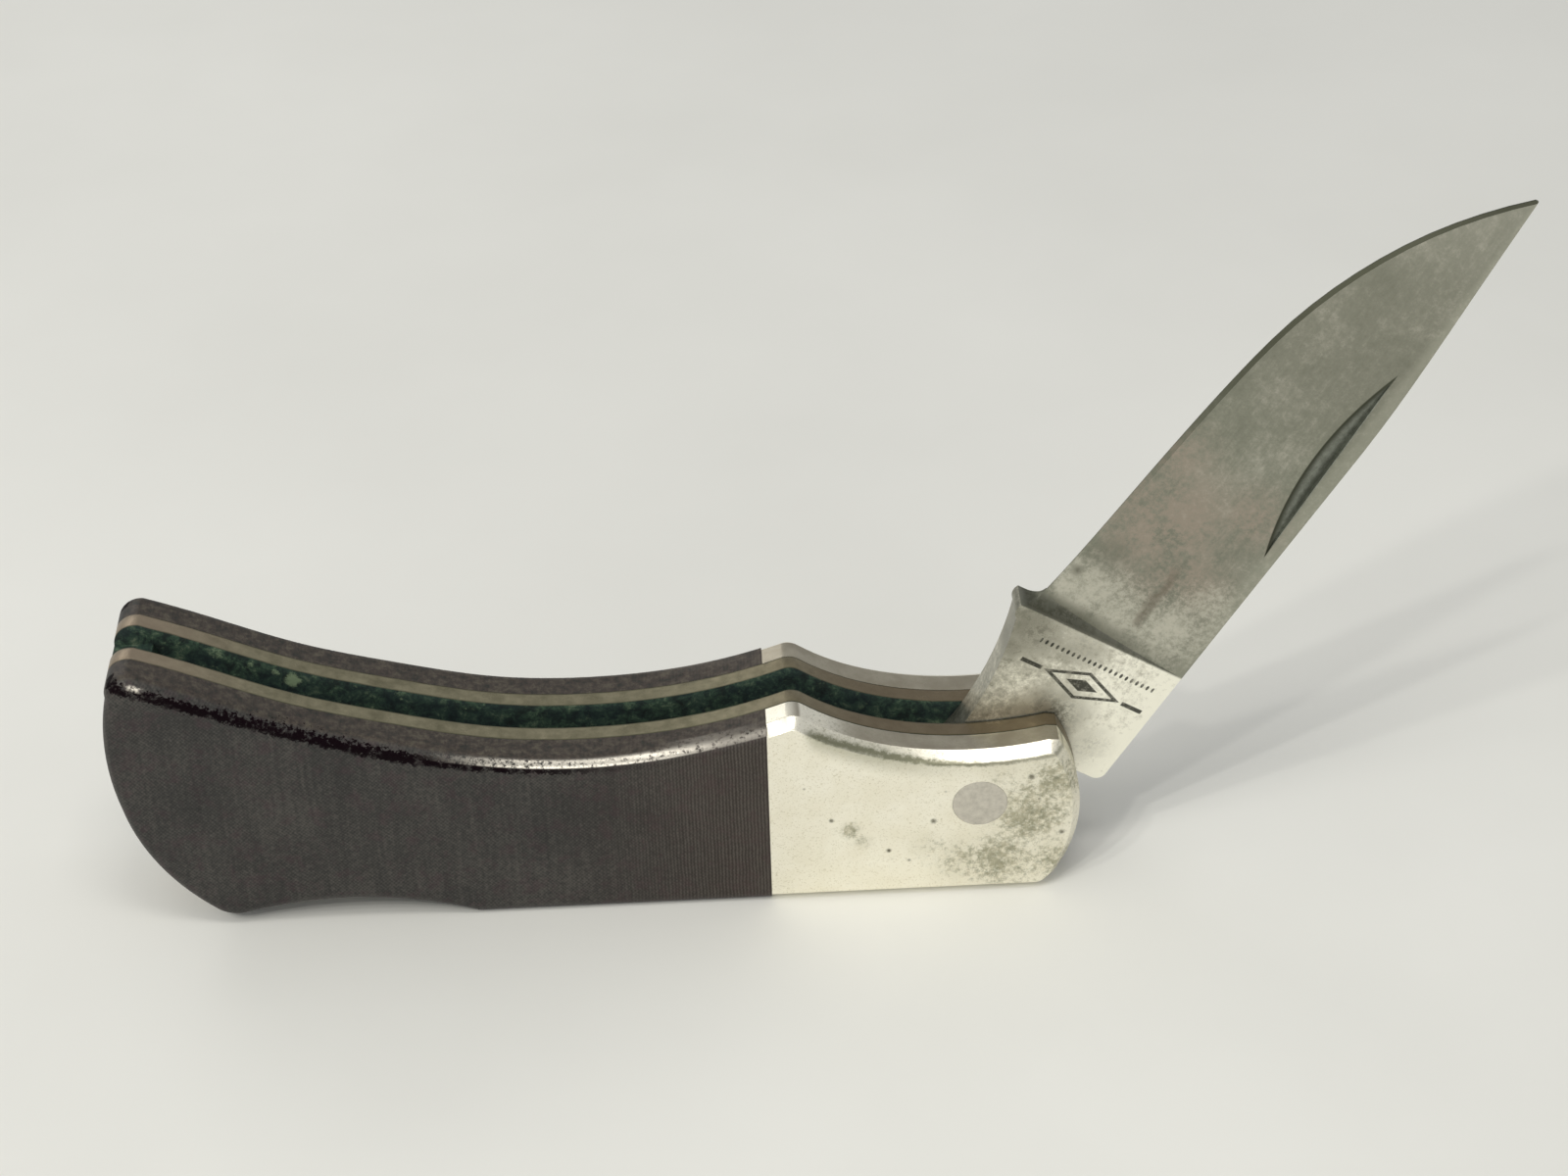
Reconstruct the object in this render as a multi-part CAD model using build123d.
"""Small lockback folding knife, standing on its straight spine with the blade half open.

Frame: X runs along the handle (butt at -X, blade pivot at X = 0), Y across its thickness,
Z up from the spine.  The origin is on the spine plane, straight under the pivot.
Left is the -Y side, which carries the nail nick.  All sizes are in millimetres.
"""
from build123d import *
import os
from math import atan, degrees, hypot

# ---- driving dimensions -------------------------------------------------------------
HANDLE_T = 12.7          # over the two bolsters
SLOT_W = 3.1             # between the liners
LINER_T = 1.7
BLADE_T = 2.9
BAR_T = 2.9              # lock bar and lock spring

PIVOT_Z = 10.1
PIVOT_R = 2.4
RUNNING_FIT = 0.05       # radial, at both moving joints

BLADE_ANGLE = 58.45      # blade above its fully open line, as it is kept
SPINE_N = -10.6          # spine of the blade, from the pivot, across the blade
EDGE_HALF = 0.2          # half thickness where the honed bevel starts
EDGE_BEVEL = 0.42        # width of that bevel
TIP_HALF = 0.05          # half thickness of the edge itself
PLUNGE_S = 17.0          # where the flat ricasso ends and the grind starts
PLUNGE_RUN = 1.7
NOTCH_BACK_S = 0.25      # lock notch in the tang
NOTCH_FRONT_S = 4.05
NOTCH_FLOOR_N = -4.75

NICK_MID_S = 41.0
NICK_SPINE_N = -9.1
NICK_LENGTH = 20.2
NICK_DEPTH = 0.55
NICK_WIDTH = 1.75
NICK_TILT = 2.2

BOLSTER_X = -18.4        # joint between bolster and scale
HUMP_ROUND = 1.6         # crest of the finger hump
TOP_LAND = 2.0           # flat of the bolster beside the liner, before the chamfer
BOLSTER_CHAMFER = 0.75   # width of the chamfer on the outer face
SCALE_ROUND = 1.1

BAR_RECESS = 0.1         # lock bar below flush with the spine
BAR_TOP = 3.7
BAR_NOSE_X = 3.9
ROCKER_X = -33.0
ROCKER_Z = 3.0
ROCKER_R = 1.2

HALF_SLOT = SLOT_W / 2
LINER_Y = HALF_SLOT + LINER_T
HALF_T = HANDLE_T / 2
SIDES = (("left", -1), ("right", 1))


def face_of(*curves):
    """Face inside a closed run of lines, arcs and splines."""
    return make_face(Wire([edge for curve in curves for edge in curve.edges()]))


def slab(face, near, far, side=1):
    """Extrude a face drawn on the XZ plane between two distances from the mid plane."""
    body = extrude(Plane.XZ.offset(-near) * face, amount=near - far)
    return body if side > 0 else body.mirror(Plane.XZ)


def rod(x, z, radius, y_low, y_high):
    """Round pin across the handle."""
    pin = Plane.XZ.offset(-y_low) * Circle(radius)
    return Pos(x, 0, z) * extrude(pin, amount=y_low - y_high)


def save(name, *solids):
    """Write one named piece; loose solids of one node go in as a group."""
    shape = solids[0] if len(solids) == 1 else Compound(children=list(solids))
    shape.label = name
    export_step(shape, f"parts/{name}.step")


# ---- blade lines --------------------------------------------------------------------
SPINE_LINE = [(43.0, SPINE_N), (56.0, -10.1), (63.0, -9.75), (69.1, -9.55)]
BELLY_LINE = [(16.0, 4.65), (31.0, 3.35), (44.0, 2.3), (51.0, 1.2), (56.6, -0.6),
              (62.4, -3.6), (66.4, -6.65), (69.1, -9.3)]
TAPER_S = 44.0           # from here the spine thins towards the tip
TAPER_HALF = 0.26        # half thickness at the tip's spine
GRIND_STEPS = 26

# ---- handle outline -----------------------------------------------------------------
FRONT_CORNER = (6.9, 15.95)
HUMP = (-15.9, 20.1)
TOP_BACK = [(-71.7, 27.55), (-66.8, 25.5), (-58.8, 21.95), (-50.6, 19.4),
            (-42.3, 17.4), (-33.8, 16.8), (-25.2, 17.5)]
TOP_FRONT = [(-11.5, 17.45), (-4.8, 15.6), (0.5, 15.35)]
SPINE_FRONT_X = 5.4
NOTCH_ARC = [(-44.5, 0.0), (-55.3, 2.1), (-64.5, 1.05)]
OUTLINE_START, OUTLINE_END = -90.0, 20.0     # clear of the outline at each end
WINDOW_H = 80.0                              # taller than the outline, above and below


def handle_outline():
    """Side view of the whole handle: drooped butt, finger hump, straight spine."""
    face = face_of(
        Line((SPINE_FRONT_X, 0), NOTCH_ARC[0]),
        ThreePointArc(*NOTCH_ARC),
        ThreePointArc(NOTCH_ARC[2], (-66.3, 0.95), (-67.7, 1.75)),
        ThreePointArc((-67.7, 1.75), (-71.7, 6.5), (-74.2, 13.2)),
        ThreePointArc((-74.2, 13.2), (-74.8, 19.0), (-73.95, 25.3)),
        ThreePointArc((-73.95, 25.3), (-73.2, 27.15), TOP_BACK[0]),
        Spline(*TOP_BACK, HUMP),
        Spline(HUMP, *TOP_FRONT, (6.0, 16.05)),
        Line((6.0, 16.05), FRONT_CORNER),
        ThreePointArc(FRONT_CORNER, (8.9, 9.2), (7.2, 1.9)),
        ThreePointArc((7.2, 1.9), (6.5, 0.75), (SPINE_FRONT_X, 0)),
    )
    crest = min(face.vertices(), key=lambda v: hypot(v.X - HUMP[0], v.Y - HUMP[1]))
    return fillet(crest, HUMP_ROUND)


def part_of_outline(x_low, x_high):
    window = Pos((x_low + x_high) / 2, 0) * Rectangle(x_high - x_low, WINDOW_H)
    return handle_outline() & window


# ---- handle pieces ------------------------------------------------------------------
RIVETS = ((-13.8, 4.6), (-13.2, 13.4))
RIVET_R = 0.8
RIVET_REACH = 2.2        # into the bolster, short of its face
BUTT_PINS = ((-69.6, 6.6), (-72.5, 19.0))
BUTT_PIN_R = 1.0


def liner(side):
    body = slab(handle_outline(), HALF_SLOT, LINER_Y, side)
    for x, z, r in [(0, PIVOT_Z, PIVOT_R), (ROCKER_X, ROCKER_Z, ROCKER_R)]:
        body -= rod(x, z, r, -HALF_T, HALF_T)
    for x, z in RIVETS:
        body -= rod(x, z, RIVET_R, -HALF_T, HALF_T)
    for x, z in BUTT_PINS:
        body -= rod(x, z, BUTT_PIN_R, -HALF_T, HALF_T)
    return body


def outer_rim(body, joint_x):
    """Edges round the outer face, without the one along the bolster joint."""
    outer = body.faces().sort_by(Axis.Y)[-1]
    return [e for e in outer.edges() if abs(e.center().X - joint_x) > 0.01]


def bolster(side):
    """Plate with a chamfer round its outer face, cut square where it meets the scale."""
    face = part_of_outline(BOLSTER_X - 2, OUTLINE_END)
    drop = HALF_T - LINER_Y - TOP_LAND
    taper = degrees(atan(BOLSTER_CHAMFER / drop))
    crown = extrude(face, amount=drop, taper=taper).mirror(Plane.XY)   # it tapers downwards
    plate = extrude(face, amount=TOP_LAND) + Pos(0, 0, TOP_LAND) * crown
    body = Plane.XZ.offset(LINER_Y) * plate
    body &= Pos(BOLSTER_X, 0, 0) * Box(OUTLINE_END - BOLSTER_X, HANDLE_T * 2, WINDOW_H,
                                       align=(Align.MIN, Align.CENTER, Align.CENTER))
    body -= rod(0, PIVOT_Z, PIVOT_R, -HALF_T - 1, 0)
    for x, z in RIVETS:
        body -= rod(x, z, RIVET_R, -LINER_Y - RIVET_REACH, 0)
    return body if side < 0 else body.mirror(Plane.XZ)


def scale(side):
    body = slab(part_of_outline(OUTLINE_START, BOLSTER_X), LINER_Y, HALF_T)
    body = fillet(outer_rim(body, BOLSTER_X), SCALE_ROUND)
    return body if side > 0 else body.mirror(Plane.XZ)


SPRING_ROOT_X = -68.2
SPRING_ROOT_Z = (5.35, 7.3)
SPRING_TIP_X = -37.6
SPRING_TIP_Z = (3.95, 4.75)
SPRING_BELLY = [(-65.5, 5.6), (-40.0, 4.2), (-39.0, SPRING_TIP_Z[0])]
SPRING_BACK = [(-52.0, 5.9), (-66.6, SPRING_ROOT_Z[1])]
SPACER_WALL_X = -66.6
SPACER_TOP = 25.6
SPACER_STEM = [(-70.6, 15.5), (-70.6, SPACER_TOP)]
BELOW_SPINE = -5.0


def butt_spacer():
    """Fills the slot at the butt and holds the root of the lock spring."""
    slot_low, slot_high = SPRING_ROOT_Z
    inner = Polyline((SPACER_WALL_X, BELOW_SPINE), (SPACER_WALL_X, slot_low),
                     (SPRING_ROOT_X, slot_low), (SPRING_ROOT_X, slot_high),
                     (SPACER_WALL_X, slot_high), (SPACER_WALL_X, 9.0), *SPACER_STEM,
                     (OUTLINE_START, SPACER_TOP), (OUTLINE_START, BELOW_SPINE), close=True)
    face = handle_outline() & make_face(inner)
    body = slab(face, -HALF_SLOT, HALF_SLOT)
    for x, z in BUTT_PINS:
        body -= rod(x, z, BUTT_PIN_R, -HALF_T, HALF_T)
    return body


def lock_spring():
    """Leaf from the spacer's slot to just behind the rocker pin, clear of the raised tail."""
    outline = Polyline((SPRING_ROOT_X, SPRING_ROOT_Z[0]), *SPRING_BELLY,
                       (SPRING_TIP_X, SPRING_TIP_Z[0]), (SPRING_TIP_X, SPRING_TIP_Z[1]),
                       *SPRING_BACK, (SPRING_ROOT_X, SPRING_ROOT_Z[1]), close=True)
    return slab(make_face(outline), -BAR_T / 2, BAR_T / 2)


# ---- moving pieces ------------------------------------------------------------------
BAR_SHOULDER = [(-26.0, BAR_TOP), (-30.0, 5.6)]          # rises to the hub round the pin
BAR_HUB = [(-30.0, 5.6), (ROCKER_X, 6.1), (-36.0, 4.6)]
BAR_TAIL_TOP = [(-36.0, 4.6), (-37.0, 3.5), (-60.0, 3.3), (-65.0, 3.3)]
BAR_TAIL_END = [(-65.0, 3.3), (-65.9, 2.4), (-65.4, 1.3)]
BAR_HOOK_X = 0.45                                        # back of the hooked nose
BAR_SCOOP = [(BAR_HOOK_X, 2.0), (-2.4, 2.35), (-5.0, BAR_TOP)]   # clears the tang's round lobe


def lock_bar():
    """Rocker along the spine: hooked nose in front, thumb tail in the notch at the butt."""
    low = BAR_RECESS
    outline = face_of(
        Polyline(BAR_SCOOP[2], *BAR_SHOULDER),
        ThreePointArc(*BAR_HUB),
        Polyline(*BAR_TAIL_TOP),
        ThreePointArc(*BAR_TAIL_END),
        Polyline(BAR_TAIL_END[2], (-64.0, 0.7), (-60.0, low), (BAR_NOSE_X, low),
                 (BAR_NOSE_X, BAR_TOP), (BAR_HOOK_X, BAR_TOP), BAR_SCOOP[0]),
        ThreePointArc(*BAR_SCOOP),
    )
    body = slab(outline, -BAR_T / 2, BAR_T / 2)
    return body - rod(ROCKER_X, ROCKER_Z, ROCKER_R + RUNNING_FIT, -HALF_T, HALF_T)


def blade_outline():
    """Spine, tang and ricasso; s runs from the pivot along the spine, n towards the edge.

    Past the heel the outline stands off, because the ground section makes the belly there.
    """
    corner = 0.9
    heel = (18.9, 4.4)
    kick = (PLUNGE_S, 6.0)
    lobe_end = (-3.99, 4.75)
    return face_of(
        Line((NOTCH_FRONT_S + corner, SPINE_N), SPINE_LINE[0]),
        Spline(*SPINE_LINE, tangents=[(1, 0), (1, 0.03)]),
        Polyline(SPINE_LINE[-1], (72, -9), (60, 6), (40, 9), (heel[0], 9), heel),
        ThreePointArc(heel, (17.7, 4.75), kick),
        ThreePointArc(kick, (16.3, 6.1), (15.6, 5.65)),
        ThreePointArc((15.6, 5.65), (10.1, 4.15), (4.4, 3.55)),
        Spline((4.4, 3.55), (0.4, 3.95), lobe_end, tangents=[(-1, -0.02), (-0.76, -0.64)]),
        ThreePointArc(lobe_end, (-5.9, -1.9), (NOTCH_BACK_S, -6.195)),
        Polyline((NOTCH_BACK_S, -6.195), (NOTCH_BACK_S, NOTCH_FLOOR_N),
                 (NOTCH_FRONT_S, NOTCH_FLOOR_N), (NOTCH_FRONT_S, SPINE_N + corner)),
        ThreePointArc((NOTCH_FRONT_S, SPINE_N + corner),
                      (NOTCH_FRONT_S + 0.29 * corner, SPINE_N + 0.29 * corner),
                      (NOTCH_FRONT_S + corner, SPINE_N)),
    )


def spine_half(s):
    """Half thickness of the spine: full stock, then a rounded taper to the tip."""
    run = max(0.0, (s - TAPER_S) / (BELLY_LINE[-1][0] - TAPER_S))
    return BLADE_T / 2 - (BLADE_T / 2 - TAPER_HALF) * run ** 2


def ground_section():
    """Flat grind from the spine to the belly, with the honed bevel along the edge."""
    belly = Spline(*BELLY_LINE)
    sections = []
    for step in range(GRIND_STEPS + 1):
        edge = belly @ (step / GRIND_STEPS)
        half = spine_half(edge.X)
        shoulder_n = edge.Y - min(EDGE_BEVEL, 0.4 * (edge.Y - SPINE_N))
        side = [(SPINE_N - 1, half), (SPINE_N, half), (shoulder_n, min(EDGE_HALF, 0.7 * half)),
                (edge.Y, TIP_HALF)]
        loop = [(y, n) for n, y in side] + [(-y, n) for n, y in reversed(side)]
        sections.append(Plane.YZ.offset(edge.X) * make_face(Polyline(*loop, close=True)))
    return loft(sections, ruled=True)


def plunge_zone():
    """Everything the grinding wheel reaches: it runs in from the ricasso on a curve."""
    half = BLADE_T / 2
    out = half + 1
    end_s = PLUNGE_S + PLUNGE_RUN
    mid = (PLUNGE_S + 0.38 * PLUNGE_RUN, 0.4 * half)
    profile = face_of(
        Polyline((PLUNGE_S, half), (PLUNGE_S, out), (90, out), (90, -out), (PLUNGE_S, -out),
                 (PLUNGE_S, -half)),
        ThreePointArc((PLUNGE_S, -half), (mid[0], -mid[1]), (end_s, -TIP_HALF)),
        Line((end_s, -TIP_HALF), (end_s, TIP_HALF)),
        ThreePointArc((end_s, TIP_HALF), mid, (PLUNGE_S, half)),
    )
    return extrude(Plane.XY * profile, amount=20, both=True)


def nail_nick():
    """Cone that scoops the nick: a steep straight side at the spine, a curved side below."""
    half = NICK_LENGTH / 2
    radius = (half * half + NICK_DEPTH * NICK_DEPTH) / (2 * NICK_DEPTH)
    cone = Cone(radius, radius - NICK_DEPTH, NICK_WIDTH, align=(Align.CENTER, Align.CENTER, Align.MIN))
    flat_slope = (BLADE_T / 2 - EDGE_HALF) / (4.0 - EDGE_BEVEL - SPINE_N)
    face_y = -BLADE_T / 2 + flat_slope * (NICK_SPINE_N - SPINE_N)
    seat = Pos(NICK_MID_S, face_y, NICK_SPINE_N) * Rot(-degrees(atan(flat_slope)), -NICK_TILT, 0)
    return seat * Pos(0, NICK_DEPTH - radius, 0) * cone


def blade():
    body = slab(blade_outline(), -BLADE_T / 2, BLADE_T / 2)
    body -= plunge_zone() - ground_section()
    body -= nail_nick()
    body -= rod(0, 0, PIVOT_R + RUNNING_FIT, -HALF_T, HALF_T)
    return Pos(0, 0, PIVOT_Z) * Rot(0, -BLADE_ANGLE, 0) * body


def main():
    os.makedirs("parts", exist_ok=True)
    for name, side in SIDES:
        save(f"{name}_liner", liner(side))
        save(f"{name}_bolster", bolster(side))
        save(f"{name}_scale", scale(side))
        inner, outer = HALF_SLOT, LINER_Y + RIVET_REACH
        span = (inner, outer) if side > 0 else (-outer, -inner)
        save(f"{name}_bolster_rivets", *[rod(x, z, RIVET_R, *span) for x, z in RIVETS])
    save("pivot_pin", rod(0, PIVOT_Z, PIVOT_R, -HALF_T, HALF_T))
    save("rocker_pin", rod(ROCKER_X, ROCKER_Z, ROCKER_R, -LINER_Y, LINER_Y))
    save("butt_pins", *[rod(x, z, BUTT_PIN_R, -LINER_Y, LINER_Y) for x, z in BUTT_PINS])
    save("butt_spacer", butt_spacer())
    save("lock_spring", lock_spring())
    save("lock_bar", lock_bar())
    save("blade", blade())


main()
